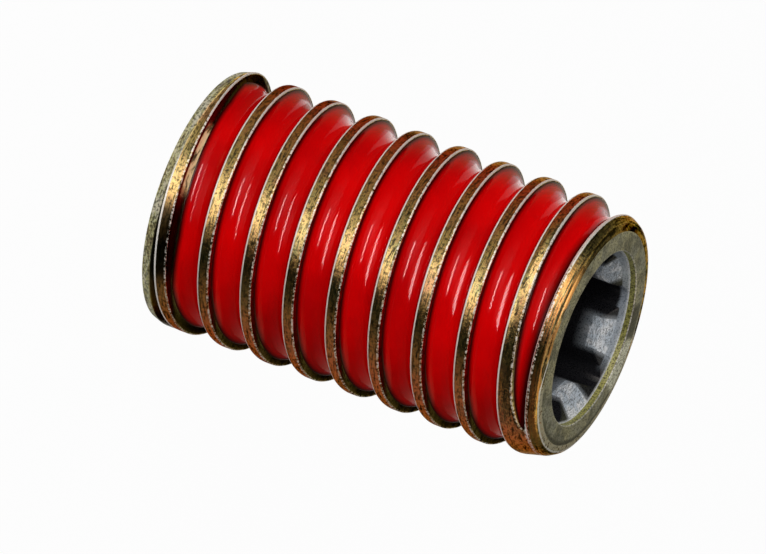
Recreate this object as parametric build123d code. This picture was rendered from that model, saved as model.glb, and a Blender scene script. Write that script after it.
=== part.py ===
from build123d import *
import os
from math import cos, pi, radians, sin, tan

# A headless set screw, turned from one bar of steel.  It stands on its plain
# point, with the hexalobular drive socket facing up.  The origin is the centre
# of the point's flat face, +Z is the screw's axis and the first socket lobe
# lies on +X.  All lengths are in millimetres and all angles in degrees.

# Blank: the turned outline before the thread is cut
thread_diameter = 16.0
overall_length = 26.0
point_chamfer_width = 0.55      # measured along the radius
point_chamfer_height = 0.7      # measured along the axis
collar_setback = 0.52           # from the thread's crest in to the collar
collar_drop = 0.58              # top face down to the collar's top edge
lead_taper_length = 2.05        # the thread's crest narrows to the collar over this
rim_setback = 0.21              # from the collar in to the foot of the rim's bevel
rim_drop = 0.2                  # top face down to that foot
rim_bevel_width = 0.27
crown_drop = 0.03               # top face down to the head of the rim's bevel
crown_width = 0.5               # from there in to the flat annular face

# Thread: one right-hand round-bottomed groove
thread_pitch = 2.835
groove_radius = 1.04            # radius of the round-nosed cutter
groove_depth = 1.05
groove_exit_azimuth = -34.0     # where the cutter has lifted clear of the collar
groove_exit_drop = 0.47         # top face down to the groove's centre there
groove_exit_sweep = 70.0        # angle over which the cutter lifts to the collar
groove_exit_overrun = 21.0      # it keeps lifting for this angle past the collar
groove_exit_stations = 8        # points that set out the lift
groove_entry_overrun = 1.6      # the cutter starts this far under the point

# Shoulder: the groove's last turn stops against the collar
shoulder_drop = 0.8             # top face down to the flat of the shoulder
shoulder_edge_setback = 0.09    # from the collar in to the shoulder's bevel
shoulder_bevel_angle = 55.0     # bevel's slope above the flat

# Drive socket
socket_across_lobes = 10.7
socket_across_teeth = 8.0
socket_lobe_radius = 0.9
socket_depth = 8.2              # top face down to the socket's floor
socket_lobes = 6
mouth_diameter = 10.84          # plain counterbore above the lobes
mouth_depth = 0.4
mouth_cone_angle = 37.0         # slope of the countersink under the counterbore
drill_point_diameter = 7.2
drill_point_angle = 118.0       # full angle of the pilot drill's point

# How far a cutting shape reaches out past the metal that it cuts
cutting_reach = 3.0

thread_radius = thread_diameter / 2
collar_radius = thread_radius - collar_setback
groove_floor_radius = thread_radius - groove_depth
cutter_path_radius = groove_floor_radius + groove_radius


def on_cylinder(radius, azimuth, height):
    """A point given by its radius, its azimuth in degrees and its height."""
    angle = radians(azimuth)
    return Vector(radius * cos(angle), radius * sin(angle), height)


def turned(outline):
    """The solid turned from an outline given as (radius, height) pairs."""
    face = make_face(Plane.XZ * Polyline(*outline, close=True))
    return revolve(face, axis=Axis.Z, revolution_arc=360)


def blank():
    """The bar, chamfered at the point and rounded off by small steps at the top."""
    top = overall_length
    rim_radius = collar_radius - rim_setback
    crown_radius = rim_radius - rim_bevel_width
    return turned([
        (0, 0),
        (thread_radius - point_chamfer_width, 0),
        (thread_radius, point_chamfer_height),
        (thread_radius, top - collar_drop - lead_taper_length),
        (collar_radius, top - collar_drop),
        (rim_radius, top - rim_drop),
        (crown_radius, top - crown_drop),
        (crown_radius - crown_width, top),
        (0, top),
    ])


def cutter_path():
    """The cutter's centre line: a helix, then a short lift clear of the collar."""
    exit_height = overall_length - groove_exit_drop
    lift_start_height = exit_height - thread_pitch * groove_exit_sweep / 360
    helix_height = lift_start_height + groove_entry_overrun
    helix_turn = 360 * helix_height / thread_pitch
    start_azimuth = groove_exit_azimuth - groove_exit_sweep - helix_turn
    helix = Helix(thread_pitch, helix_height, cutter_path_radius)
    helix = Location((0, 0, -groove_entry_overrun), (0, 0, start_azimuth)) * helix

    lift_points = []
    lift_run = groove_exit_sweep + groove_exit_overrun
    for station in range(groove_exit_stations + 1):
        turn = lift_run * station / groove_exit_stations
        lift = (collar_radius - groove_floor_radius) * (turn / groove_exit_sweep) ** 2
        azimuth = groove_exit_azimuth - groove_exit_sweep + turn
        height = lift_start_height + thread_pitch * turn / 360
        lift_points.append(on_cylinder(cutter_path_radius + lift, azimuth, height))
    last_leg = lift_points[-1] - lift_points[-2]
    lift_curve = Spline(*lift_points, tangents=[helix % 1, last_leg.normalized()])
    return Wire([helix, lift_curve])


def groove():
    """What the round-nosed cutter removes, stopped short by the shoulder."""
    path = cutter_path()
    nose = Plane(origin=path @ 0, z_dir=path % 0) * Circle(groove_radius)
    swept = sweep(nose, path=path, is_frenet=True)
    reach = thread_radius + cutting_reach
    flat_height = overall_length - shoulder_drop
    edge_radius = collar_radius - shoulder_edge_setback
    bevel_rise = (reach - edge_radius) * tan(radians(shoulder_bevel_angle))
    clear_below = -groove_entry_overrun - cutting_reach
    allowed = turned([
        (0, clear_below),
        (reach, clear_below),
        (reach, flat_height + bevel_rise),
        (edge_radius, flat_height),
        (0, flat_height),
    ])
    return swept & allowed


def socket_outline():
    """Lobes and teeth as arcs that meet tangentially, half a lobe step apart."""
    half_step = pi / socket_lobes
    lobe_centre = socket_across_lobes / 2 - socket_lobe_radius
    tooth_tip = socket_across_teeth / 2
    reach = lobe_centre * cos(half_step)
    tooth_radius = (
        (tooth_tip ** 2 + lobe_centre ** 2 - 2 * reach * tooth_tip - socket_lobe_radius ** 2)
        / (2 * (socket_lobe_radius - tooth_tip + reach))
    )
    tooth_centre = tooth_tip + tooth_radius
    share = socket_lobe_radius / (socket_lobe_radius + tooth_radius)
    touch_x = lobe_centre + (tooth_centre * cos(half_step) - lobe_centre) * share
    touch_y = tooth_centre * sin(half_step) * share
    arcs = []
    for lobe in range(socket_lobes):
        turn = Rotation(0, 0, 360 * lobe / socket_lobes)
        lobe_arc = ThreePointArc(
            (touch_x, -touch_y), (socket_across_lobes / 2, 0), (touch_x, touch_y)
        )
        tooth_end_angle = 2 * half_step
        tooth_end = (
            touch_x * cos(tooth_end_angle) + touch_y * sin(tooth_end_angle),
            touch_x * sin(tooth_end_angle) - touch_y * cos(tooth_end_angle),
        )
        tooth_middle = (tooth_tip * cos(half_step), tooth_tip * sin(half_step))
        tooth_arc = ThreePointArc((touch_x, touch_y), tooth_middle, tooth_end)
        arcs += [turn * lobe_arc, turn * tooth_arc]
    return make_face(Curve() + arcs)


def socket():
    """The drive socket with its counterbore, countersink and drill point."""
    top = overall_length
    mouth_radius = mouth_diameter / 2
    cone_height = mouth_radius * tan(radians(mouth_cone_angle))
    drill_radius = drill_point_diameter / 2
    drill_height = drill_radius / tan(radians(drill_point_angle / 2))
    lobed = extrude(Pos(0, 0, top - socket_depth) * socket_outline(), socket_depth)
    mouth = turned([
        (0, top),
        (mouth_radius, top),
        (mouth_radius, top - mouth_depth),
        (0, top - mouth_depth - cone_height),
    ])
    drill_point = turned([
        (0, top - socket_depth),
        (drill_radius, top - socket_depth),
        (0, top - socket_depth - drill_height),
    ])
    return lobed + mouth + drill_point


set_screw = blank() - groove() - socket()

os.makedirs("parts", exist_ok=True)
export_step(set_screw, "parts/set_screw.step")
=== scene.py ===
from math import atan2, ceil, cos, pi, radians, sin, sqrt, tan

import bmesh
import bpy
from mathutils import Matrix, Vector


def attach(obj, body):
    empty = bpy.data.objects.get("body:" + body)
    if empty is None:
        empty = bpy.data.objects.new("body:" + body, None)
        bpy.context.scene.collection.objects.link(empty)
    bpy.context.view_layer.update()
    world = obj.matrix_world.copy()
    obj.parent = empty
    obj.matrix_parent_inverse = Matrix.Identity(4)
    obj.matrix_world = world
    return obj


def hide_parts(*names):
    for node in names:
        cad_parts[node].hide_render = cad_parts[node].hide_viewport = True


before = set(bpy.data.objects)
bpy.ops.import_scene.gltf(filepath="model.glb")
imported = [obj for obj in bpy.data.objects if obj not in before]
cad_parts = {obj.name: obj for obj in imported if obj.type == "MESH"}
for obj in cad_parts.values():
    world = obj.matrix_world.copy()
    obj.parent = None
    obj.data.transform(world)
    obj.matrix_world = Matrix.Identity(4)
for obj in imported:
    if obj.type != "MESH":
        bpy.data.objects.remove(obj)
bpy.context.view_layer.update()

# ---------------------------------------------------------------------------
# Screw body: the threaded side
# One bar of steel, turned, with a round-nosed groove cut along a helix.  The
# groove lifts out under the socket end, where a shoulder stops it.
# ---------------------------------------------------------------------------
# Lengths are in millimetres until the last step of each mesh, angles in radians
MM = 0.001
FULL_TURN = 2 * pi

# The bar: a cylinder that narrows to the collar, with a small chamfer at the point
crest_radius = 8.0
collar_radius = 7.495
collar_height = 25.36
lead_taper_length = 1.99
lead_taper_angle = atan2(crest_radius - collar_radius, lead_taper_length)
point_chamfer_radius = 7.80
point_chamfer_height = 0.62

# The groove, which lifts out and stops at the shoulder.  A lag is an angle before
# the groove's end, counted back along the helix.
thread_pitch = 2.835
groove_radius = 1.04
groove_depth = 1.05
groove_end_height = 25.63
groove_end_azimuth = radians(-21.3)
lift_at_collar = 0.53
lift_end_lag = radians(12.7)
lift_sweep = radians(70)
shoulder_height = 25.2
shoulder_edge_radius = 7.39
shoulder_bevel_overrun = 0.02   # its bevel ends this far above the collar's edge

# The groove's first turn, which deepens from nothing and leaves a ring at the point
run_in_lag = radians(3135)
run_in_sweep = radians(80)
run_in_crest_gap = 0.02         # past the point's chamfer, it begins this deep
run_in_spare_depth = 0.2        # past the groove's floor, so that a full groove stays as it is

# The crest's two edges, rounded off where the groove is open
socket_side_edge_drop = 0.035
point_side_edge_drop = 0.11
socket_side_edge_width = 0.06
point_side_edge_width = 0.36
edge_opening_rate = 4           # of the full drop, per radian that the groove is open

# The mesh
steps_per_turn = 180
body_turns = 10
weld_distance = 0.002


class Amount:
    """A number in a node tree, so that the tree's formulas read as sums."""

    def __init__(self, tree, socket):
        self.tree = tree
        self.socket = socket

    def __add__(self, other):
        return work_out(self.tree, "ADD", self, other)

    def __radd__(self, other):
        return work_out(self.tree, "ADD", other, self)

    def __sub__(self, other):
        return work_out(self.tree, "SUBTRACT", self, other)

    def __rsub__(self, other):
        return work_out(self.tree, "SUBTRACT", other, self)

    def __mul__(self, other):
        return work_out(self.tree, "MULTIPLY", self, other)

    def __rmul__(self, other):
        return work_out(self.tree, "MULTIPLY", other, self)

    def __neg__(self):
        return work_out(self.tree, "MULTIPLY", self, -1)

    def __truediv__(self, other):
        return work_out(self.tree, "DIVIDE", self, other)

    def __pow__(self, other):
        return work_out(self.tree, "POWER", self, other)


def work_out(tree, operation, *terms):
    """One Math node; each term is a plain number or an Amount of the tree."""
    node = tree.nodes.new("ShaderNodeMath")
    node.operation = operation
    for socket, term in zip(node.inputs, terms):
        if isinstance(term, Amount):
            tree.links.new(term.socket, socket)
        else:
            socket.default_value = term
    return Amount(tree, node.outputs[0])


def smaller(first, second):
    return work_out(first.tree, "MINIMUM", first, second)


def larger(first, second):
    return work_out(first.tree, "MAXIMUM", first, second)


def held(value, lowest, highest):
    return smaller(larger(value, lowest), highest)


def eased(share):
    """A share from 0 to 1 that starts and ends gently, so that points crowd there."""
    return 0.5 - 0.5 * work_out(share.tree, "COSINE", share * pi)


def choose(test, when_true, when_false):
    """when_true where test is 1, and when_false where it is 0."""
    return when_false + test * (when_true - when_false)


def new_tree(name, sizes):
    """A geometry tree with a named input for each size, and those inputs."""
    tree = bpy.data.node_groups.new(name, "GeometryNodeTree")
    for in_out in ("INPUT", "OUTPUT"):
        tree.interface.new_socket("Geometry", in_out=in_out, socket_type="NodeSocketGeometry")
    for size_name in sizes:
        tree.interface.new_socket(size_name, in_out="INPUT", socket_type="NodeSocketFloat")
    inputs = tree.nodes.new("NodeGroupInput")
    return tree, {name: Amount(tree, inputs.outputs[name]) for name in sizes}


def strip(tree, rows, columns):
    """A flat grid, and how far along (0 to 1) and across (0 to 1) each point is."""
    grid = tree.nodes.new("GeometryNodeMeshGrid")
    for side in ("Size X", "Size Y"):
        grid.inputs[side].default_value = 1
    grid.inputs["Vertices X"].default_value = rows
    grid.inputs["Vertices Y"].default_value = columns
    place = tree.nodes.new("GeometryNodeInputPosition")
    parts = tree.nodes.new("ShaderNodeSeparateXYZ")
    tree.links.new(place.outputs[0], parts.inputs[0])
    along = Amount(tree, parts.outputs["X"]) + 0.5
    across = Amount(tree, parts.outputs["Y"]) + 0.5
    return grid.outputs["Mesh"], along, across


def wrap(tree, mesh, radius, azimuth, height):
    """Moves the grid's points to cylindrical places, turning them into metres."""
    place = tree.nodes.new("ShaderNodeCombineXYZ")
    metres = radius * MM
    coordinates = (
        metres * work_out(tree, "COSINE", azimuth),
        metres * work_out(tree, "SINE", azimuth),
        height * MM,
    )
    for socket, value in zip(place.inputs, coordinates):
        tree.links.new(value.socket, socket)
    move = tree.nodes.new("GeometryNodeSetPosition")
    tree.links.new(mesh, move.inputs["Geometry"])
    tree.links.new(place.outputs[0], move.inputs["Position"])
    return move.outputs["Geometry"]


def remember(tree, mesh, attribute, value):
    """Stores a value on the points under a name that a material can read."""
    store = tree.nodes.new("GeometryNodeStoreNamedAttribute")
    store.data_type = "FLOAT"
    store.domain = "POINT"
    store.inputs["Name"].default_value = attribute
    tree.links.new(mesh, store.inputs["Geometry"])
    tree.links.new(value.socket, store.inputs["Value"])
    return store.outputs["Geometry"]


def close_tree(tree, mesh, material):
    """Joins the turns of the strip, then realizes, sets the material and ends."""
    merge = tree.nodes.new("GeometryNodeMergeByDistance")
    merge.inputs["Distance"].default_value = weld_distance * MM
    realize = tree.nodes.new("GeometryNodeRealizeInstances")
    dress = tree.nodes.new("GeometryNodeSetMaterial")
    dress.inputs["Material"].default_value = material
    output = tree.nodes.new("NodeGroupOutput")
    tree.links.new(mesh, merge.inputs["Geometry"])
    tree.links.new(merge.outputs[0], realize.inputs[0])
    tree.links.new(realize.outputs[0], dress.inputs["Geometry"])
    tree.links.new(dress.outputs[0], output.inputs[0])


def placed(name, data):
    """An object of a mesh, a lamp or a camera, in the scene."""
    thing = bpy.data.objects.new(name, data)
    bpy.context.scene.collection.objects.link(thing)
    return thing


def grown(name, tree, sizes):
    """Runs a tree on an empty mesh with its sizes, and gives the plain mesh."""
    seed = placed(name + "_seed", bpy.data.meshes.new(name + "_seed"))
    modifier = seed.modifiers.new(name, "NODES")
    modifier.node_group = tree
    for item in tree.interface.items_tree:
        if item.in_out == "INPUT" and item.name in sizes:
            modifier[item.identifier] = sizes[item.name]
    bpy.context.view_layer.update()
    evaluated = seed.evaluated_get(bpy.context.evaluated_depsgraph_get())
    mesh = bpy.data.meshes.new_from_object(evaluated)
    bpy.data.objects.remove(seed)
    return mesh


def blank_radius(sizes, height):
    """The bar's own radius, which narrows to the collar under the socket end."""
    start = sizes["Collar Height"] - sizes["Lead Taper Length"]
    share = held((height - start) / sizes["Lead Taper Length"], 0, 1)
    return sizes["Crest Radius"] - share * (sizes["Crest Radius"] - sizes["Collar Radius"])


def leaving(tree, centre_radius, bar_radius, slope_angle, nose):
    """The half angle about the cutter at which its round nose leaves the bar."""
    reach = (centre_radius - bar_radius) * cos(slope_angle) / nose
    return work_out(tree, "ARCCOSINE", held(reach, -1, 1))


def cutter(sizes, lag):
    """Where the round-nosed cutter is, a given angle before the groove's end.

    Returns its centre's radius and height, and the two angles about its centre,
    from the part's radius, at which it leaves the bar: point side, then socket
    side.  The bar is a cylinder up to the lead taper, which the cutter meets at a
    tilt, and where the cutter is clear of the bar, the two angles are the same.
    """
    tree = lag.tree
    centre_height = sizes["Groove End Height"] - lag * (1 / FULL_TURN) * sizes["Pitch"]
    lifting = larger(sizes["Lift Sweep"] + sizes["Lift End Lag"] - lag, 0) / sizes["Lift Sweep"]
    nose = sizes["Groove Radius"]
    centre_radius = sizes["Crest Radius"] - sizes["Groove Depth"] + nose
    centre_radius = centre_radius + sizes["Lift At Collar"] * lifting * lifting
    narrowing = (sizes["Crest Radius"] - sizes["Collar Radius"]) / sizes["Lead Taper Length"]
    taper_radius = sizes["Collar Radius"] - narrowing * (centre_height - sizes["Collar Height"])
    sides = []
    for drop in (sizes["Socket Side Edge Drop"], sizes["Point Side Edge Drop"]):
        on_crest = leaving(tree, centre_radius, sizes["Crest Radius"] - drop, 0, nose)
        on_taper = leaving(tree, centre_radius, taper_radius - drop, lead_taper_angle, nose)
        sides.append((on_crest, on_taper))
    first = larger(sides[0][0] * -1, sides[0][1] * -1 - lead_taper_angle)
    last = smaller(sides[1][0], sides[1][1] - lead_taper_angle)
    return centre_radius, centre_height, first, larger(first, last)


def cut_point(sizes, centre_radius, centre_height, angle, share, openness):
    """A point of the groove, kept inside the bar and stopped by the shoulder."""
    tree = angle.tree
    nose = sizes["Groove Radius"]
    height = centre_height + nose * work_out(tree, "SINE", angle)
    edge_drop = choose(share, sizes["Point Side Edge Drop"], sizes["Socket Side Edge Drop"])
    outermost = blank_radius(sizes, height) - edge_drop * openness
    radius = smaller(centre_radius - nose * work_out(tree, "COSINE", angle), outermost)
    shoulder = sizes["Shoulder Height"]
    rise = held((shoulder - centre_height) / nose, -1, 1)
    corner_radius = centre_radius - nose * work_out(tree, "SQRT", 1 - rise * rise)
    beyond = work_out(tree, "GREATER_THAN", height, shoulder)
    radius = smaller(choose(beyond, larger(radius, corner_radius), radius), outermost)
    bevel_width = sizes["Collar Radius"] - sizes["Shoulder Edge Radius"]
    bevel_top = sizes["Collar Height"] + sizes["Shoulder Bevel Overrun"]
    bevel_slope = (bevel_top - shoulder) / bevel_width
    bevel = larger(radius - sizes["Shoulder Edge Radius"], 0) * bevel_slope
    return radius, smaller(height, shoulder + bevel)


def run_in(sizes, lag, height):
    """The least radius of the groove: at the point's ring it is the chamfer's own."""
    inset = sizes["Crest Radius"] - sizes["Point Chamfer Radius"]
    cone = height * (inset / sizes["Point Chamfer Height"]) + sizes["Point Chamfer Radius"]
    cone = smaller(cone, sizes["Crest Radius"] - sizes["Run In Crest Gap"])
    share = held((lag - sizes["Run In Lag"]) / sizes["Run In Sweep"], 0, 1)
    return cone - (1 - share) * (sizes["Groove Depth"] + sizes["Run In Spare Depth"])


thread_sizes = {
    "Turns": body_turns,
    "Pitch": thread_pitch,
    "Crest Radius": crest_radius,
    "Groove Radius": groove_radius,
    "Groove Depth": groove_depth,
    "Collar Radius": collar_radius,
    "Collar Height": collar_height,
    "Lead Taper Length": lead_taper_length,
    "Shoulder Height": shoulder_height,
    "Shoulder Edge Radius": shoulder_edge_radius,
    "Shoulder Bevel Overrun": shoulder_bevel_overrun,
    "Groove End Height": groove_end_height,
    "Groove End Azimuth": groove_end_azimuth,
    "Lift At Collar": lift_at_collar,
    "Lift End Lag": lift_end_lag,
    "Lift Sweep": lift_sweep,
    "Socket Side Edge Drop": socket_side_edge_drop,
    "Point Side Edge Drop": point_side_edge_drop,
    "Socket Side Edge Width": socket_side_edge_width,
    "Point Side Edge Width": point_side_edge_width,
    "Point Chamfer Radius": point_chamfer_radius,
    "Point Chamfer Height": point_chamfer_height,
    "Run In Lag": run_in_lag,
    "Run In Sweep": run_in_sweep,
    "Run In Crest Gap": run_in_crest_gap,
    "Run In Spare Depth": run_in_spare_depth,
}


def thread_tree(material, groove_columns, land_columns):
    """The bar's threaded side: one pitch of groove and land, along the helix."""
    tree, sizes = new_tree("threaded_side", thread_sizes)
    columns = groove_columns + land_columns + 1
    mesh, along, across = strip(tree, body_turns * steps_per_turn + 1, columns)
    lag = (1 - along) * sizes["Turns"] * FULL_TURN
    column = across * (columns - 1)

    groove_share = held(column * (1 / groove_columns), 0, 1)
    centre_radius, centre_height, first, last = cutter(sizes, lag)
    openness = held((last - first) * edge_opening_rate, 0, 1)
    angle = choose(groove_share, last, first)
    groove_r, groove_z = cut_point(
        sizes, centre_radius, centre_height, angle, groove_share, openness
    )
    groove_r = larger(groove_r, run_in(sizes, lag, groove_z))
    last_r, last_z = cut_point(sizes, centre_radius, centre_height, last, 1, openness)
    last_r = larger(last_r, run_in(sizes, lag, last_z))
    next_lag = larger(lag - FULL_TURN, 0)
    next_radius, next_height, next_first, next_last = cutter(sizes, next_lag)
    next_openness = held((next_last - next_first) * edge_opening_rate, 0, 1)
    next_r, next_z = cut_point(sizes, next_radius, next_height, next_first, 0, next_openness)

    land_share = eased(held((column - groove_columns) * (1 / land_columns), 0, 1))
    land_z = choose(land_share, next_z, last_z)
    from_last = land_z - last_z
    from_next = next_z - land_z
    low_drop = blank_radius(sizes, last_z) - last_r
    high_drop = blank_radius(sizes, next_z) - next_r
    low = larger(1 - from_last / sizes["Point Side Edge Width"], 0)
    high = larger(1 - from_next / sizes["Socket Side Edge Width"], 0)
    land_r = blank_radius(sizes, land_z) - low_drop * low * low * (1 - land_share)
    land_r = land_r - high_drop * high * high * land_share

    on_land = work_out(tree, "GREATER_THAN", column, groove_columns + 0.5)
    radius = choose(on_land, land_r, groove_r)
    height = choose(on_land, land_z, groove_z)
    point_gap = choose(on_land, from_last, (angle - last) * sizes["Groove Radius"])
    socket_gap = choose(on_land, from_next, (first - angle) * sizes["Groove Radius"])
    mesh = remember(tree, mesh, "point_edge_gap", point_gap)
    mesh = remember(tree, mesh, "socket_edge_gap", socket_gap)
    mesh = wrap(tree, mesh, radius, sizes["Groove End Azimuth"] - lag, height)
    close_tree(tree, mesh, material)
    return tree


def bare_material(name):
    """A material with nothing but its output."""
    material = bpy.data.materials.new(name)
    material.use_nodes = True
    material.node_tree.nodes.clear()
    return material, material.node_tree.nodes.new("ShaderNodeOutputMaterial")


def new_material(name):
    """A material with its own shader, whose inputs are still to be set."""
    material, output = bare_material(name)
    shader = material.node_tree.nodes.new("ShaderNodeBsdfPrincipled")
    material.node_tree.links.new(shader.outputs[0], output.inputs["Surface"])
    return material, shader


# The grain of zinc plating: speckles as wide as Size says, in millimetres, soft
# clouds, and marks and longer streaks round the bar, as a lathe tool leaves them
grain = bpy.data.node_groups.new("plating_grain", "ShaderNodeTree")
for name, default in (("Size", 0.08), ("Softness", 0.5)):
    socket = grain.interface.new_socket(name, in_out="INPUT", socket_type="NodeSocketFloat")
    socket.default_value = default
grain_outputs = ("Speckle", "Cloud", "Marks", "Streaks")
for name in grain_outputs:
    grain.interface.new_socket(name, in_out="OUTPUT", socket_type="NodeSocketFloat")
grain_in = grain.nodes.new("NodeGroupInput")
grain_out = grain.nodes.new("NodeGroupOutput")
where = grain.nodes.new("ShaderNodeTexCoord")
mark_stretch = 7
streak_stretch = 30
stretched = []
for stretch_along in (mark_stretch, streak_stretch):
    stretch = grain.nodes.new("ShaderNodeMapping")
    stretch.inputs["Scale"].default_value = (1, 1, stretch_along)
    grain.links.new(where.outputs["Object"], stretch.inputs["Vector"])
    stretched.append(stretch.outputs["Vector"])
fineness = work_out(grain, "DIVIDE", 1 / MM, Amount(grain, grain_in.outputs["Size"]))
# Each has its coordinates, its scale as a share of the speckles' and its detail
for output_name, source, share, detail in (
    ("Speckle", where.outputs["Object"], 1.0, 3.0),
    ("Cloud", where.outputs["Object"], 0.08, 4.0),
    ("Marks", stretched[0], 0.25, 3.0),
    ("Streaks", stretched[1], 0.07, 2.0),
):
    noise = grain.nodes.new("ShaderNodeTexNoise")
    noise.inputs["Detail"].default_value = detail
    grain.links.new(source, noise.inputs["Vector"])
    grain.links.new((fineness * share).socket, noise.inputs["Scale"])
    grain.links.new(grain_in.outputs["Softness"], noise.inputs["Roughness"])
    grain.links.new(noise.outputs["Fac"], grain_out.inputs[output_name])


def graded(tree, value, *stops):
    """A ColorRamp from a value; each stop is a position and a colour or a grey."""
    ramp = tree.nodes.new("ShaderNodeValToRGB")
    elements = ramp.color_ramp.elements
    while len(elements) < len(stops):
        elements.new(0.5)
    for element, (position, colour) in zip(elements, stops):
        element.position = position
        if isinstance(colour, (int, float)):
            colour = (colour, colour, colour)
        element.color = (*colour, 1)
    tree.links.new(value, ramp.inputs["Fac"])
    return ramp.outputs["Color"]


def blended(tree, share, base, layer, kind="MIX"):
    """A colour Mix node; each of its three inputs is a socket or a value."""
    node = tree.nodes.new("ShaderNodeMix")
    node.data_type = "RGBA"
    node.blend_type = kind
    for name, value in (("Factor", share), ("A", base), ("B", layer)):
        sockets = [s for s in node.inputs if s.name == name and s.enabled]
        if isinstance(value, bpy.types.NodeSocket):
            tree.links.new(value, sockets[0])
        elif isinstance(value, (int, float)):
            sockets[0].default_value = value
        else:
            sockets[0].default_value = (*value, 1)
    return [s for s in node.outputs if s.enabled][0]


def speckled(tree, colour, speckle, *stops):
    """A colour multiplied by the greys that a ramp gives to the speckles."""
    return blended(tree, 1.0, colour, graded(tree, speckle, *stops), "MULTIPLY")


def washed(colour, share, layer, strength=1.0):
    """A colour with a layer over it where the share says, at most this strong."""
    if strength != 1.0:
        share = share * strength
    return blended(share.tree, share.socket, colour, layer)


def grain_in_material(tree, size, softness):
    """The grain placed in a material: speckle, cloud, marks and streaks."""
    group = tree.nodes.new("ShaderNodeGroup")
    group.node_tree = grain
    group.inputs["Size"].default_value = size
    group.inputs["Softness"].default_value = softness
    return [group.outputs[name] for name in grain_outputs]


def stored(tree, attribute):
    """A value that the mesh carries on its points."""
    node = tree.nodes.new("ShaderNodeAttribute")
    node.attribute_name = attribute
    return Amount(tree, node.outputs["Fac"])


def coordinates(tree, kind):
    """The three parts of a texture coordinate."""
    place = tree.nodes.new("ShaderNodeTexCoord")
    parts = tree.nodes.new("ShaderNodeSeparateXYZ")
    tree.links.new(place.outputs[kind], parts.inputs[0])
    return [Amount(tree, output) for output in parts.outputs]


def cylindrical(tree):
    """Where the surface is: azimuth in radians, radius and height in millimetres."""
    x, y, z = (part * (1 / MM) for part in coordinates(tree, "Object"))
    return work_out(tree, "ARCTAN2", y, x), work_out(tree, "SQRT", x * x + y * y), z


def fading(value, full, gone):
    """1 up to one value and 0 beyond another, with a straight slope between."""
    return held((gone - value) / (gone - full), 0, 1)


def rising(value, gone, full):
    """0 up to one value and 1 beyond another, with a straight slope between."""
    return fading(-value, -full, -gone)


def facing(azimuth, side, start, steepness, lowest=0):
    """1 near an azimuth, and its least where the cosine from there is under start."""
    from_side = work_out(azimuth.tree, "COSINE", azimuth - side)
    return held((from_side - start) * steepness, lowest, 1)


def spotted(tree, share, pattern, low, high):
    """A share broken up by a pattern, which thins it out where the share is low."""
    return held((share + Amount(tree, pattern) - low) / (high - low), 0, 1)


def raised(tree, shader, height, strength, depth):
    """A Bump node from a height to a shader's normal, its depth in metres."""
    bump = tree.nodes.new("ShaderNodeBump")
    bump.inputs["Strength"].default_value = strength
    bump.inputs["Distance"].default_value = depth
    tree.links.new(height, bump.inputs["Height"])
    tree.links.new(bump.outputs[0], shader.inputs["Normal"])


# Yellow chromate over zinc: gold that drifts to olive and to rose.  The crest's
# two edges are rubbed to bare zinc and carry painted highlight lines, and the bare
# flank beside the lacquer is painted darker, a painted shade.
chromate_gold = (0.76, 0.55, 0.22)
chromate_olive = (0.50, 0.48, 0.22)
chromate_rose = (0.62, 0.36, 0.18)
dark_chromate_and_shade = (0.10, 0.08, 0.04)
chromate_orange = (0.84, 0.40, 0.13)
bare_zinc = (0.97, 0.93, 0.86)
painted_glint_gold = (0.98, 0.80, 0.44)
dull_zinc = (0.50, 0.49, 0.33)
worn_brown = (0.20, 0.16, 0.08)
painted_black = (0.015, 0.016, 0.010)
face_beige = (0.62, 0.57, 0.42)

yellow_plating, shader = new_material("yellow_plating")
tree = yellow_plating.node_tree
speckle, cloud, marks, streaks = grain_in_material(tree, size=0.17, softness=0.6)
azimuth, radius, height = cylindrical(tree)
film_colour = graded(
    tree, cloud, (0.34, chromate_olive), (0.46, chromate_gold), (0.56, chromate_gold),
    (0.68, chromate_rose),
)
dark_marks = graded(tree, marks, (0.38, 0.9), (0.49, 0.0))
film_colour = blended(tree, dark_marks, film_colour, dark_chromate_and_shade)
rosy_marks = graded(tree, marks, (0.54, 0.0), (0.64, 0.8))
film_colour = blended(tree, rosy_marks, film_colour, chromate_rose)
film_colour = speckled(tree, film_colour, speckle, (0.36, 0.28), (0.50, 1.1))

# The collar: orange streaks of the film's own tone, kept to the side where its highlight
# falls as a painted highlight tint, and scored all round.  Each pair of numbers is where an
# area begins or ends and where it is whole, the lower one first.
collar_heights = (25.30, 25.50)
orange_highlight_azimuth = radians(-75)
on_collar = rising(height, *collar_heights)
orange_highlight_side = facing(azimuth, orange_highlight_azimuth, 0.5, 4, lowest=0.1)
# Painted highlight tint: orange streaks only on the side where the collar's highlight falls
streaked_orange_highlight = Amount(tree, graded(tree, streaks, (0.46, 0.0), (0.54, 0.9))) * on_collar * orange_highlight_side
film_colour = washed(film_colour, streaked_orange_highlight, chromate_orange)
scored = Amount(tree, graded(tree, streaks, (0.38, 0.9), (0.45, 0.0))) * on_collar
film_colour = washed(film_colour, scored, dark_chromate_and_shade)

# The bare flank, painted darker as painted shade.  On the first turn it has a painted
# golden glint, a painted highlight, and a painted black patch that stands in for a
# dark reflection.  The gaps are distances along the surface from the crest's edges,
# below 0 in the groove.
flank_gaps = (-0.10, -0.03)
flank_shade = 0.78
first_turn_shade = 0.15
first_turn_heights = (2.4, 2.8)
painted_glint_azimuth = radians(-110)
painted_glint_gaps = (-0.30, -0.20)
painted_dark_reflection_azimuth = radians(-70)
painted_dark_reflection_heights = (2.0, 2.6)
point_gap = stored(tree, "point_edge_gap")
socket_gap = stored(tree, "socket_edge_gap")
on_flank = fading(socket_gap, *flank_gaps)
first_turn = fading(height, *first_turn_heights)
# Painted highlight: a golden glint on the first turn's flank, facing one azimuth
painted_glint = facing(azimuth, painted_glint_azimuth, 0.94, 30) * first_turn * fading(socket_gap, *painted_glint_gaps)
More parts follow.
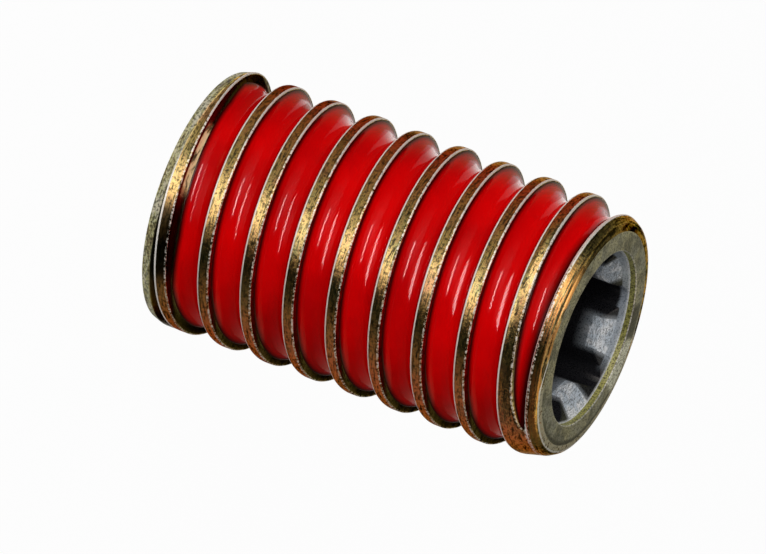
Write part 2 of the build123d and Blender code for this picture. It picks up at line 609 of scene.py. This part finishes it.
# Painted shade: the bare flank is darkened, more so on the first turn, except under the painted
# glint
shaded = on_flank * (1 - painted_glint) * (first_turn * first_turn_shade + flank_shade)
film_colour = washed(film_colour, shaded, dark_chromate_and_shade)
# Painted dark reflection: a black patch on the first turn at one azimuth
painted_dark_reflection = facing(azimuth, painted_dark_reflection_azimuth, 0.93, 25) * fading(height, *painted_dark_reflection_heights)
film_colour = washed(film_colour, painted_dark_reflection, painted_black, strength=0.85)
film_colour = washed(film_colour, spotted(tree, painted_glint, marks, 1.36, 1.54), painted_glint_gold)

# The crest's edges: a painted shade outline in the groove's corner, and lines rubbed to
# bare zinc that are also painted highlights, the one on the socket side broken up into
# beads
outline_gaps = (-0.30, -0.20)
corner_gaps = (-0.045, -0.015)
point_line_gaps = (0.085, 0.125)
socket_line_gaps = (0.09, 0.16)
bead_azimuth = radians(-45)
bead_start = 1.17
bead_start_swing = 0.27
bead_sharpness = 6
# Painted shade: a black outline in the groove's corner beside the point-side edge
painted_corner_shade = fading(point_gap, *corner_gaps) * rising(point_gap, *outline_gaps)
film_colour = washed(film_colour, painted_corner_shade, painted_black, strength=0.95)
# Rubbed lines of bare zinc, also painted highlights along both edges
point_line = fading(point_gap, *point_line_gaps) * rising(point_gap, *corner_gaps)
point_rubbed_highlight = spotted(tree, point_line, speckle, 0.80, 1.0)
socket_line = fading(socket_gap, *socket_line_gaps) * (1 - on_flank)
beading = held(work_out(tree, "COSINE", azimuth - bead_azimuth) * 1.5 + 0.4, 0, 1)
beaded = socket_line + Amount(tree, speckle) - (bead_start + beading * bead_start_swing)
rubbed_highlight = larger(point_rubbed_highlight, held(beaded * bead_sharpness, 0, 1))
film_colour = washed(film_colour, rubbed_highlight, bare_zinc)

# The point's ring, worn to a mottled dull film
point_ring_heights = (0.50, 0.60)
at_point = fading(height, *point_ring_heights)
mottle = (Amount(tree, cloud) + Amount(tree, marks)) * 0.5
dull_film = graded(
    tree, mottle.socket, (0.45, worn_brown), (0.49, chromate_olive), (0.53, dull_zinc),
    (0.58, face_beige),
)
dull_film = speckled(tree, dull_film, speckle, (0.42, 0.25), (0.54, 1.0))
film_colour = washed(film_colour, at_point, dull_film, strength=0.9)

# The rim: rubbed pale on one side and rolled over on the other, with a bright line
# where it meets the flat ring
rim_rub_azimuth = radians(10)
rim_heights = (25.90, 25.92)
rim_radii = (7.02, 7.10)
rim_line_radius = 6.53
rim_line_swing = 0.54           # the line lies this much further out on the rubbed side
rim_line_widths = (0.05, 0.09)
roll_radius = 6.50              # the rolled part begins here
roll_width = 0.60
roll_slope = 0.9
rim_side = facing(azimuth, rim_rub_azimuth, 0, 3)
on_top = rising(height, *rim_heights)
on_rim = spotted(tree, fading(radius, *rim_radii) * on_top * rim_side, speckle, 1.30, 1.50)
film_colour = washed(film_colour, on_rim, face_beige)
from_line = work_out(tree, "ABSOLUTE", radius - rim_side * rim_line_swing - rim_line_radius)
rim_line = spotted(tree, fading(from_line, *rim_line_widths) * on_top, speckle, 1.25, 1.45)
film_colour = washed(film_colour, rim_line, bare_zinc)
rolled_over = held(radius - roll_radius, 0, roll_width) * (1 - rim_side) * on_top * roll_slope

# The finish: polished metal, less metallic and rougher where it is rubbed or dull, and
# less metallic on the painted glint, so that the lamps light its gold
speckle_depth = 0.015
dull_metal_loss = 0.45
rubbed_highlight_metal_loss = 0.25
painted_glint_metal_loss = 0.8
dull_roughness = 0.25
dulled = larger(larger(rubbed_highlight, rim_line), larger(at_point, on_rim))
metal = 1 - dulled * dull_metal_loss - point_rubbed_highlight * rubbed_highlight_metal_loss
metal = metal - painted_glint * painted_glint_metal_loss
roughness = Amount(tree, graded(tree, speckle, (0.3, 0.14), (0.7, 0.26)))
tree.links.new(film_colour, shader.inputs["Base Color"])
tree.links.new(film_colour, shader.inputs["Specular Tint"])
tree.links.new(metal.socket, shader.inputs["Metallic"])
tree.links.new((roughness + dulled * dull_roughness).socket, shader.inputs["Roughness"])
relief = Amount(tree, speckle) - rolled_over * (1 / speckle_depth)
raised(tree, shader, relief.socket, 1.0, speckle_depth * MM)

threaded_side = grown(
    "threaded_side", thread_tree(yellow_plating, groove_columns=30, land_columns=12), thread_sizes
)

# ---------------------------------------------------------------------------
# Screw body: the drive end
# The same bar's end: a collar that is chamfered to a crowned rim, a flat ring,
# and a six-lobed drive socket under a plain counterbore and a countersink.
# ---------------------------------------------------------------------------
overall_length = 26.0
socket_lobe_reach = 5.35
socket_tooth_reach = 4.0
socket_lobe_radius = 0.9
socket_floor_height = 17.8
drill_radius = 3.6
drill_point_height = 15.64
mouth_radius = 5.42
mouth_floor_height = 25.6
mouth_cone_slope = tan(radians(37))
lip = 0.045                     # small bevels round the mouth and the socket
socket_lobes = 6
half_lobe = pi / socket_lobes

# The lobes and the teeth are arcs that touch; all is seen from the socket's axis
lobe_centre = socket_lobe_reach - socket_lobe_radius
chord = lobe_centre * cos(half_lobe)
tooth_radius = (
    (socket_tooth_reach ** 2 + lobe_centre ** 2 - 2 * chord * socket_tooth_reach
     - socket_lobe_radius ** 2)
    / (2 * (socket_lobe_radius - socket_tooth_reach + chord))
)
tooth_centre = socket_tooth_reach + tooth_radius
touch_share = socket_lobe_radius / (socket_lobe_radius + tooth_radius)
touch_angle = atan2(
    tooth_centre * sin(half_lobe) * touch_share,
    lobe_centre + (tooth_centre * cos(half_lobe) - lobe_centre) * touch_share,
)


def socket_radius(azimuth, growth=0.0):
    """The socket's wall at an azimuth: lobes and teeth are tangent arcs."""
    turn = abs((azimuth + half_lobe) % (2 * half_lobe) - half_lobe)
    if turn < touch_angle:
        radius = socket_lobe_radius + growth
        return lobe_centre * cos(turn) + sqrt(radius ** 2 - (lobe_centre * sin(turn)) ** 2)
    turn = half_lobe - turn
    radius = tooth_radius - growth
    return tooth_centre * cos(turn) - sqrt(radius ** 2 - (tooth_centre * sin(turn)) ** 2)


def cone_height(radius):
    """The countersink's height at a radius."""
    return mouth_floor_height - (mouth_radius - radius) * mouth_cone_slope


def ring(mesh, count, radius_at, height_at):
    """A ring of points; the radius is a function of azimuth, height of radius."""
    points = []
    for step in range(count):
        azimuth = groove_end_azimuth + FULL_TURN * step / count
        radius = radius_at(azimuth)
        place = (radius * cos(azimuth), radius * sin(azimuth), height_at(radius))
        points.append(mesh.verts.new(Vector(place) * MM))
    return points


def level(value):
    """The same radius or height all the way round."""
    return lambda _: value


PLATING, SOCKET, END_FACE = range(3)   # the body's material slots


def bridge(mesh, outer, inner, material_index):
    """Faces between two rings; the inner one has as many points or twice that."""
    count = len(outer)
    ratio = len(inner) // count
    for step in range(count):
        inner_run = [inner[(ratio * step + k) % len(inner)] for k in range(ratio + 1)]
        corners = [outer[step], outer[(step + 1) % count]] + inner_run[::-1]
        mesh.faces.new(corners).material_index = material_index


def ring_inside(mesh, outer, count, radius_at, height_at, material_index):
    """A ring within another and the faces between them; gives the new ring."""
    inner = ring(mesh, count, radius_at, height_at)
    bridge(mesh, outer, inner, material_index)
    return inner


body = bmesh.new()
body.from_mesh(threaded_side)
for face in body.faces:
    face.material_index = PLATING
point_gap_layer = body.verts.layers.float["point_edge_gap"]
socket_gap_layer = body.verts.layers.float["socket_edge_gap"]

# The point: a small chamfer and a flat, both cut across the thread
cut_tolerance = 1e-7            # in metres, as the next is
flat_tolerance = 1e-6
for plane_height, keep_below in ((point_chamfer_height, True), (0.0, False)):
    everything = body.verts[:] + body.edges[:] + body.faces[:]
    bmesh.ops.bisect_plane(
        body, geom=everything, dist=cut_tolerance, plane_co=(0, 0, plane_height * MM),
        plane_no=(0, 0, -1), clear_outer=not keep_below,
    )
    for vertex in body.verts:
        share = vertex.co.z / MM / point_chamfer_height
        limit = point_chamfer_radius + (crest_radius - point_chamfer_radius) * share
        radius = vertex.co.xy.length / MM
        if keep_below and share < 1 and radius > limit:
            vertex.co.xy *= limit / radius
open_edges = [e for e in body.edges if e.is_boundary and e.verts[0].co.z < flat_tolerance]
bmesh.ops.holes_fill(body, edges=open_edges, sides=0)

# The collar's chamfer, the crowned rim and the edge of the flat ring
flat_ring_radius = 6.6
top_rings = [
    (collar_radius, groove_end_height - groove_radius * sin(lead_taper_angle)),
    (7.483, 25.41), (7.468, 25.45), (7.44, 25.50), (7.38, 25.61), (7.30, 25.75), (7.26, 25.81),
    (7.20, 25.868), (7.12, 25.918), (7.02, 25.952), (6.90, 25.968), (6.66, 25.983),
    (6.58, 25.988), (6.50, overall_length),
]
innermost = ring(body, steps_per_turn, *map(level, top_rings[0]))
for radius, height in top_rings[1:]:
    slot = END_FACE if radius < flat_ring_radius else PLATING
    innermost = ring_inside(
        body, innermost, steps_per_turn, level(radius), level(height), slot
    )

# The flat ring, the lip and the counterbore's wall
fine_count = 2 * steps_per_turn
for radius, height in (
    (mouth_radius + lip, overall_length), (mouth_radius, overall_length - lip),
    (mouth_radius, mouth_floor_height),
):
    innermost = ring_inside(
        body, innermost, fine_count, level(radius), level(height), END_FACE
    )

# The countersink, the socket's wall and its floor, down to the drill's point
mouth_clearance = 0.01          # the lobes' bevel stays this far inside the counterbore
wall_steps = 6
for growth, drop in ((lip, 0.0), (0.0, lip)):
    innermost = ring_inside(
        body, innermost, fine_count,
        lambda a: min(socket_radius(a, growth), mouth_radius - mouth_clearance),
        lambda r: cone_height(r) - drop, SOCKET,
    )
for step in range(1, wall_steps + 1):
    share = step / wall_steps
    innermost = ring_inside(
        body, innermost, fine_count, socket_radius,
        lambda r: cone_height(r) - lip + (socket_floor_height - cone_height(r) + lip) * share,
        SOCKET,
    )
innermost = ring_inside(
    body, innermost, fine_count, level(drill_radius), level(socket_floor_height), SOCKET
)
tip = body.verts.new((0, 0, drill_point_height * MM))
for step in range(fine_count):
    corners = (innermost[step], innermost[(step + 1) % fine_count], tip)
    body.faces.new(corners).material_index = SOCKET

# Where the two halves meet: the gaps above the collar, and one closed surface
collar_tolerance = 0.001
far_gap = 1.0                   # further from a crest's edge than any mark reaches
shoulder_side_radius = 7.08     # the collar's chamfer and rim, outside this, get a real gap
seam_distance = 0.015
no_length = 1e-8                # in metres: edges shorter than this are dissolved
for vertex in body.verts:
    if vertex.co.z > (collar_height + collar_tolerance) * MM:
        outside = vertex.co.xy.length / MM > shoulder_side_radius
        vertex[point_gap_layer] = far_gap
        vertex[socket_gap_layer] = vertex.co.z / MM - collar_height if outside else far_gap
seam = [vertex for vertex in body.verts if vertex.co.z > shoulder_height * MM]
bmesh.ops.remove_doubles(body, verts=seam, dist=seam_distance * MM)
# Where the groove closes to nothing, an edge may join four faces: it shrinks to a point
pinched = [edge for edge in body.edges if len(edge.link_faces) > 2]
bmesh.ops.collapse(body, edges=pinched)
bmesh.ops.dissolve_degenerate(body, edges=body.edges[:], dist=no_length)
bmesh.ops.recalc_face_normals(body, faces=body.faces[:])

# The end face: dull and grainy, with a painted shadow near its outer edge on one side,
# a darker brown patch and a brighter patch near the mouth, a pale lip round the mouth
# and yellow down the counterbore's wall
face_olive = (0.44, 0.40, 0.23)
face_grey = (0.33, 0.32, 0.24)
wall_yellow = (0.66, 0.62, 0.18)
face_brown = (0.09, 0.08, 0.04)
face_bright = (0.95, 0.93, 0.74)
outer_painted_shadow_azimuth = radians(17)
inner_dark_patch_azimuth = radians(102)
inner_bright_patch_azimuth = radians(76)
patch_core = 1.6                # a patch's share at its middle, before it is held to 1
patch_inner_fade = 0.35
patch_outer_fade = (0.20, 0.35)
wall_heights = (25.93, 25.97)
lip_line_widths = (0.04, 0.07)
lip_line_heights = (25.93, 25.95)

end_face, shader = new_material("end_face")
tree = end_face.node_tree
speckle, cloud, _, streaks = grain_in_material(tree, size=0.12, softness=0.7)
azimuth, radius, height = cylindrical(tree)
film_colour = graded(tree, cloud, (0.40, face_grey), (0.60, face_olive))
dark_streaks = graded(tree, streaks, (0.40, 0.6), (0.50, 0.0))
film_colour = blended(tree, dark_streaks, film_colour, face_brown)
# The first is a painted shadow on the flat ring's outer edge; the other two are a darker and a
# brighter patch
for place, sharpness, inner_edge, outer_edge, layer in (
    (outer_painted_shadow_azimuth, 2.5, 6.15, 6.40, face_brown),
    (inner_dark_patch_azimuth, 60, 5.0, 6.20, face_brown),
    (inner_bright_patch_azimuth, 30, 5.0, 6.45, face_bright),
):
    near = facing(azimuth, place, 1 - patch_core / sharpness, sharpness)
    near = near * rising(radius, inner_edge, inner_edge + patch_inner_fade)
    near = near * fading(radius, *[outer_edge + fade for fade in patch_outer_fade])
    film_colour = washed(film_colour, spotted(tree, near, cloud, 0.9, 1.4), layer)
on_wall = fading(height, *wall_heights)
film_colour = washed(film_colour, on_wall, wall_yellow, strength=0.8)
lip_line = fading(radius, *[mouth_radius + width for width in lip_line_widths])
lip_line = lip_line * rising(height, *lip_line_heights)
film_colour = washed(film_colour, lip_line, bare_zinc, strength=0.7)
film_colour = speckled(tree, film_colour, speckle, (0.40, 0.30), (0.54, 1.25))
tree.links.new(film_colour, shader.inputs["Base Color"])
shader.inputs["Metallic"].default_value = 0.65
shader.inputs["Roughness"].default_value = 0.42
raised(tree, shader, speckle, 1.0, 0.03 * MM)

# The socket: pale zinc on the mouth and on the teeth, with painted shade down the lobes and deep
# in the socket
pale_zinc = (0.62, 0.68, 0.74)
lip_blue = (0.36, 0.40, 0.45)
white_zinc = (0.94, 0.95, 0.96)
punch_grey = (0.10, 0.11, 0.12)
socket_painted_shade = (0.012, 0.012, 0.014)
tooth_shade_heights = (23.3, 24.2)
edge_heights = (25.50, 25.62)
lip_azimuth = radians(155)
lip_radii = (4.98, 5.04)
lip_heights = (25.0, 25.2)

socket_steel, shader = new_material("socket_steel")
tree = socket_steel.node_tree
speckle, cloud, marks, _ = grain_in_material(tree, size=0.09, softness=0.6)
azimuth, radius, height = cylindrical(tree)
by_lobes = work_out(tree, "COSINE", azimuth * socket_lobes)
# Painted shade: pale only on the teeth high in the socket, dark in the lobes and further down
on_tooth = held(0.35 - by_lobes * 2.5, 0, 1) * rising(height, *tooth_shade_heights)
pale = graded(tree, cloud, (0.44, pale_zinc), (0.56, white_zinc))
scuffed = spotted(tree, on_tooth * (1 - on_tooth) * 2, marks, 0.50, 0.62)
pale = washed(pale, scuffed, punch_grey, strength=0.7)
film_colour = washed(socket_painted_shade, on_tooth, pale)
on_lip = rising(radius, *lip_radii) * rising(height, *lip_heights)
on_lip = on_lip * facing(azimuth, lip_azimuth, 0, 4)
film_colour = washed(film_colour, on_lip, lip_blue, strength=0.8)
film_colour = washed(film_colour, rising(height, *edge_heights), white_zinc)
film_colour = speckled(tree, film_colour, speckle, (0.38, 0.55), (0.50, 1.0))
tree.links.new(film_colour, shader.inputs["Base Color"])
shader.inputs["Metallic"].default_value = 0.0
tree.links.new(graded(tree, speckle, (0.3, 0.22), (0.7, 0.38)), shader.inputs["Roughness"])
raised(tree, shader, speckle, 0.25, 0.02 * MM)

# The finished body: smooth, but for the edges that turn by more than this
sharp_angle = radians(30)
body_mesh = bpy.data.meshes.new("screw_body")
body.to_mesh(body_mesh)
body.free()
for material in (yellow_plating, socket_steel, end_face):
    body_mesh.materials.append(material)
body_mesh.polygons.foreach_set("use_smooth", [True] * len(body_mesh.polygons))
body_mesh.set_sharp_from_angle(angle=sharp_angle)
screw_body = placed("screw_body", body_mesh)
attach(screw_body, "root")
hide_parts("set_screw")

# ---------------------------------------------------------------------------
# Lacquer in the groove
# A thin coat of glossy red lacquer, flowed into the groove.  It leaves bare the
# first turn's point end and a narrow band beside each crest's socket-side edge.
# ---------------------------------------------------------------------------
film_thickness = 0.035
film_sink = 0.03                # how far under the metal the coat's back lies
film_start_height = 0.85
film_shoulder_gap = 0.02
film_high_edge_lag = 0.085      # angle about the cutter, from the crest's point-side edge
bare_band = radians(12)         # these angles are about the cutter, in a full groove
bare_band_swing = radians(9)
bare_band_side = radians(0)     # the azimuth at which the band is widest
bare_first_turn = radians(30)
first_turn_top = 3.7
film_edge_squareness = 30       # the power by which the coat keeps its full thickness
film_spread_rate = 3            # of the full thickness, per radian that the coat is wide
high_edge_share = 0.5           # the painted edge shade is twice as wide at the crest's point-side edge

deep_red = (0.50, 0.0004, 0.0016)
bright_red = (0.72, 0.0004, 0.0012)
painted_edge_shade = (0.035, 0.0004, 0.0004)
painted_edge_shade_widths = (0.08, 0.36)

lacquer, shader = new_material("red_lacquer")
tree = lacquer.node_tree
speckle, cloud, _, _ = grain_in_material(tree, size=0.5, softness=0.5)
red = graded(tree, cloud, (0.36, deep_red), (0.64, bright_red))
# Painted shade: the red turns to maroon near the coat's two edges, at the groove's corners
red = washed(red, fading(stored(tree, "film_edge_gap"), *painted_edge_shade_widths), painted_edge_shade)
tree.links.new(red, shader.inputs["Base Color"])
shader.inputs["Roughness"].default_value = 0.08
shader.inputs["Specular IOR Level"].default_value = 0.075
raised(tree, shader, speckle, 0.12, 0.04 * MM)

coat_sizes = dict(thread_sizes)
coat_sizes.update({
    "Turns": (groove_end_height - film_start_height + groove_radius) / thread_pitch,
    "Film Thickness": film_thickness,
    "Film Sink": film_sink,
    "Film Start Height": film_start_height,
    "Bare Band": bare_band,
    "Bare Band Swing": bare_band_swing,
    "Bare Band Side": bare_band_side,
    "Bare First Turn": bare_first_turn,
    "First Turn Top": first_turn_top,
    "High Edge Lag": film_high_edge_lag,
    "Film Shoulder Gap": film_shoulder_gap,
})


def coat_tree(material, face_columns, back_columns):
    """The film: a face over the groove and a back sunk just under the metal."""
    tree, sizes = new_tree("lacquer_coat", coat_sizes)
    rows = ceil(coat_sizes["Turns"] * steps_per_turn)
    columns = face_columns + back_columns
    mesh, along, across = strip(tree, rows + 1, columns + 1)
    lag = (1 - along) * sizes["Turns"] * FULL_TURN
    column = across * columns
    on_back = work_out(tree, "GREATER_THAN", column, face_columns + 0.5)
    share = choose(on_back, (columns - column) * (1 / back_columns), column * (1 / face_columns))
    share = eased(share)
    centre_radius, centre_height, first, last = cutter(sizes, lag)
    nose = sizes["Groove Radius"]
    start_rise = held((sizes["Film Start Height"] - centre_height) / nose, -1, 1)
    stop_height = sizes["Shoulder Height"] - sizes["Film Shoulder Gap"]
    stop_rise = held((stop_height - centre_height) / nose, -1, 1)
    azimuth = sizes["Groove End Azimuth"] - lag
    swing = work_out(tree, "COSINE", azimuth - sizes["Bare Band Side"])
    bare = sizes["Bare Band"] + sizes["Bare Band Swing"] * swing
    first_turn = held((sizes["First Turn Top"] - centre_height) * 2, 0, 1)
    first_turn = first_turn * facing(azimuth, painted_glint_azimuth, 0.3, 2, lowest=0.25)
    bare = bare + sizes["Bare First Turn"] * first_turn
    bare = bare * (last - first) * (1 / pi)
    low = larger(first + bare, work_out(tree, "ARCSINE", start_rise))
    high = smaller(last - sizes["High Edge Lag"], work_out(tree, "ARCSINE", stop_rise))
    high = larger(high, low)
    angle = choose(share, high, low)
    middle = 2 * share - 1
    crown = 1 - work_out(tree, "ABSOLUTE", middle) ** film_edge_squareness
    spread = smaller((high - low) * film_spread_rate, 1)
    film = crown * (1 - on_back) * spread * (sizes["Film Thickness"] + sizes["Film Sink"])
    reach = nose + sizes["Film Sink"] - film
    radius = centre_radius - reach * work_out(tree, "COSINE", angle)
    height = centre_height + reach * work_out(tree, "SINE", angle)
    edge_gap = smaller(angle - low, (high - angle) * high_edge_share) * nose
    mesh = remember(tree, mesh, "film_edge_gap", edge_gap)
    mesh = wrap(tree, mesh, radius, azimuth, height)
    close_tree(tree, mesh, material)
    return tree


coat_mesh = grown("lacquer_coat", coat_tree(lacquer, face_columns=26, back_columns=4), coat_sizes)
coat = bmesh.new()
coat.from_mesh(coat_mesh)
bmesh.ops.dissolve_degenerate(coat, edges=coat.edges[:], dist=no_length)
loose = [edge for edge in coat.edges if not edge.link_faces]
bmesh.ops.delete(coat, geom=loose, context="EDGES")
bmesh.ops.recalc_face_normals(coat, faces=coat.faces[:])
coat.to_mesh(coat_mesh)
coat.free()
coat_mesh.polygons.foreach_set("use_smooth", [True] * len(coat_mesh.polygons))
lacquer_coat = placed("lacquer_coat", coat_mesh)
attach(lacquer_coat, "root")

# ---------------------------------------------------------------------------
# Floor, lamps and camera
# The screw stands on its point on a plain white floor.  Cards laid round it on
# the floor give the metal something dark to mirror, and soft lamps light it.
# ---------------------------------------------------------------------------
# Angles are in degrees here, and lengths are in millimetres
camera_azimuth = -95.08
camera_elevation = 19.80
camera_roll = -110.09
camera_distance = 683.8
camera_lens = 543.95
camera_sensor = 36
nearest_seen = 10
camera_aim = Vector((0.86, -0.08, 12.295)) * MM
screw_middle = Vector((0, 0, 13)) * MM


def toward(azimuth, elevation):
    """The direction at an azimuth, counted from the camera's, and an elevation."""
    turn = radians(camera_azimuth + azimuth)
    level_part = cos(radians(elevation))
    return Vector((level_part * cos(turn), level_part * sin(turn), sin(radians(elevation))))


def seen_by(tree, *rays):
    """1 for the kinds of ray that are named, and 0 for all others."""
    path = tree.nodes.new("ShaderNodeLightPath")
    seen = Amount(tree, path.outputs[rays[0]])
    for ray in rays[1:]:
        seen = larger(seen, Amount(tree, path.outputs[ray]))
    return seen


def outward(tree, kind):
    """The azimuth from the camera's, -pi to pi, and the height, of a coordinate."""
    x, y, z = coordinates(tree, kind)
    azimuth = work_out(tree, "ARCTAN2", y, x) - radians(camera_azimuth)
    return work_out(tree, "WRAP", azimuth, pi, -pi), z


def by_azimuth(tree, azimuth, stops):
    """A colour that changes with azimuth; each stop is in degrees."""
    share = azimuth * (1 / FULL_TURN) + 0.5
    return graded(tree, share.socket, *[(a / 360 + 0.5, colour) for a, colour in stops])


floor_half = 1500 * MM
floor_mesh = bpy.data.meshes.new("floor")
floor_signs = ((-1, -1), (1, -1), (1, 1), (-1, 1))
floor_corners = [(x * floor_half, y * floor_half, 0) for x, y in floor_signs]
floor_mesh.from_pydata(floor_corners, [], [(0, 1, 2, 3)])
floor_object = placed("floor", floor_mesh)
paper_white = (0.86, 0.86, 0.86)
paper_glow = 0.97
white_paper, output = bare_material("white_paper")
tree = white_paper.node_tree
paper = tree.nodes.new("ShaderNodeBsdfDiffuse")
paper.inputs["Color"].default_value = (*paper_white, 1)
glow = tree.nodes.new("ShaderNodeEmission")
glow.inputs["Strength"].default_value = 1.0
glow_share = seen_by(tree, "Is Camera Ray", "Is Glossy Ray", "Is Transmission Ray") * paper_glow
blend = tree.nodes.new("ShaderNodeMixShader")
tree.links.new(glow_share.socket, blend.inputs[0])
tree.links.new(paper.outputs[0], blend.inputs[1])
tree.links.new(glow.outputs[0], blend.inputs[2])
tree.links.new(blend.outputs[0], output.inputs["Surface"])
floor_mesh.materials.append(white_paper)

# The cards: each stop is an azimuth from the camera's and the card's colour there
card_stops = [
    (-180, (0.80, 0.80, 0.80)), (-146, (0.60, 0.50, 0.46)), (-132, (0.32, 0.07, 0.05)),
    (-104, (0.30, 0.05, 0.04)), (-80, (0.22, 0.11, 0.06)), (-50, (0.27, 0.20, 0.15)),
    (-34, (0.32, 0.30, 0.22)), (-18, (0.54, 0.52, 0.44)), (-4, (1.75, 1.70, 1.60)),
    (8, (1.40, 1.22, 1.10)), (20, (0.16, 0.12, 0.08)), (32, (0.006, 0.010, 0.006)),
    (48, (0.03, 0.03, 0.02)), (70, (0.18, 0.11, 0.07)), (110, (0.34, 0.12, 0.11)),
    (150, (0.34, 0.16, 0.12)), (165, (0.40, 0.38, 0.36)), (180, (0.80, 0.80, 0.80)),
]
card_inner = 8.6
card_outer = 1400
card_height = 0.2
card_steps = 72
card_mesh = bpy.data.meshes.new("cards")
card_ring = [
    toward(360 * step / card_steps, 0) * radius * MM + Vector((0, 0, card_height * MM))
    for radius in (card_inner, card_outer) for step in range(card_steps)
]
card_faces = [
    (k, (k + 1) % card_steps, card_steps + (k + 1) % card_steps, card_steps + k)
    for k in range(card_steps)
]
card_mesh.from_pydata(card_ring, [], card_faces)
cards = placed("cards", card_mesh)
card_paint, output = bare_material("card_paint")
tree = card_paint.node_tree
card_azimuth, _ = outward(tree, "Object")
card_colour = by_azimuth(tree, card_azimuth, card_stops)
card_glow = tree.nodes.new("ShaderNodeEmission")
tree.links.new(card_colour, card_glow.inputs["Color"])
tree.links.new(card_glow.outputs[0], output.inputs["Surface"])
card_mesh.materials.append(card_paint)
cards.visible_camera = False
cards.visible_diffuse = False
cards.visible_shadow = False
cards.visible_transmission = False

# The room above the floor: a soft light all round, and for mirrored rays a wall
# whose tone changes with the azimuth and which turns pale overhead
room_light = (0.20, 0.20, 0.21)
overhead = (0.42, 0.42, 0.38)
overhead_start = 0.80           # this and the next are sines of an elevation
shade_top = 0.58
shade_azimuth = 45
shade_black = (0.02, 0.02, 0.02)
wall_stops = [
    (-180, (0.62, 0.60, 0.50)), (-150, (0.32, 0.32, 0.18)), (-120, (0.07, 0.07, 0.05)),
    (-90, (0.022, 0.028, 0.02)), (-72, (0.14, 0.15, 0.12)), (-50, (1.00, 1.00, 0.85)),
    (-30, (2.15, 1.90, 1.80)), (-8, (1.00, 0.80, 0.74)), (10, (0.08, 0.08, 0.07)),
    (30, (0.012, 0.018, 0.012)), (50, (0.03, 0.03, 0.02)), (72, (0.12, 0.08, 0.05)),
    (95, (0.55, 0.30, 0.14)), (125, (0.85, 0.85, 0.55)), (155, (0.20, 0.22, 0.14)),
    (180, (0.62, 0.60, 0.50)),
]
world = bpy.data.worlds.new("studio")
world.use_nodes = True
tree = world.node_tree
background = tree.nodes["Background"]
wall_azimuth, wall_elevation = outward(tree, "Generated")
wall = by_azimuth(tree, wall_azimuth, wall_stops)
low_shade = held((shade_top - wall_elevation) * 12, 0, 1)
low_shade = low_shade * held((wall_azimuth - radians(shade_azimuth)) * 4, 0, 1)
wall = washed(wall, low_shade, shade_black, strength=0.9)
wall = washed(wall, held((wall_elevation - overhead_start) * 8, 0, 1), overhead)
sky = blended(tree, seen_by(tree, "Is Glossy Ray").socket, room_light, wall)
tree.links.new(sky, background.inputs["Color"])
bpy.context.scene.world = world


def soft_box(name, place, aim, width, height, radiance, mirrored=True, only_for=None):
    """An area lamp that faces a point; a radiance of 1 is a lit white card's.

    It is mirrored or only lights, and it may be kept off all pieces but one.
    """
    light = bpy.data.lights.new(name, "AREA")
    light.shape = "RECTANGLE"
    light.size = width * MM
    light.size_y = height * MM
    light.energy = radiance * pi * width * height * MM * MM
    lamp = placed(name, light)
    lamp.matrix_world = Matrix.Translation(place) @ (
        (place - aim).to_track_quat("Z", "Y").to_matrix().to_4x4()
    )
    lamp.visible_camera = False
    lamp.visible_glossy = mirrored
    lamp.visible_diffuse = not mirrored
    if only_for:
        lamp.light_linking.receiver_collection = bpy.data.collections.new(name + "_receivers")
        lamp.light_linking.receiver_collection.objects.link(only_for)


lamp_distance = 450
high_strip_distance = 350
strip_height = 0.5
for name, azimuth, elevation, width, height, radiance in (
    ("key_lamp", -30, 14, 300, 260, 5.6),
    ("side_lamp", 62, 8, 250, 250, 1.2),
):
    place = screw_middle + toward(azimuth, elevation) * (lamp_distance * MM)
    soft_box(name, place, screw_middle, width, height, radiance, mirrored=False)
place = screw_middle + toward(-15, 34) * (high_strip_distance * MM)
soft_box("high_strip", place, screw_middle, 200, 34, 64, only_for=lacquer_coat)
for name, azimuth, distance, width, height, radiance in (
    ("low_strip", -2, 44, 34, 28, 44),
    ("rim_strip", -140, 56, 90, 60, 0.5),
):
    place = toward(azimuth, 0) * (distance * MM) + Vector((0, 0, strip_height * MM))
    above = place + Vector((0, 0, 1))
    soft_box(name, place, above, width, height, radiance, only_for=lacquer_coat)

# The camera stands well back with a long lens, and is rolled so that the screw
# lies across the view, with its socket end low on the right
camera_data = bpy.data.cameras.new("camera")
camera_data.lens = camera_lens
camera_data.sensor_width = camera_sensor
camera_data.clip_start = nearest_seen * MM
camera = placed("camera", camera_data)
back = toward(0, camera_elevation)
level_right = Vector((0, 0, 1)).cross(back).normalized()
level_up = back.cross(level_right)
roll = radians(camera_roll)
up = level_up * cos(roll) + level_right * sin(roll)
right = up.cross(back)
turn = Matrix((right, up, back)).transposed().to_4x4()
camera_place = camera_aim + camera_distance * MM * back
camera.matrix_world = Matrix.Translation(camera_place) @ turn
bpy.context.scene.camera = camera
bpy.context.scene.view_settings.view_transform = "Standard"
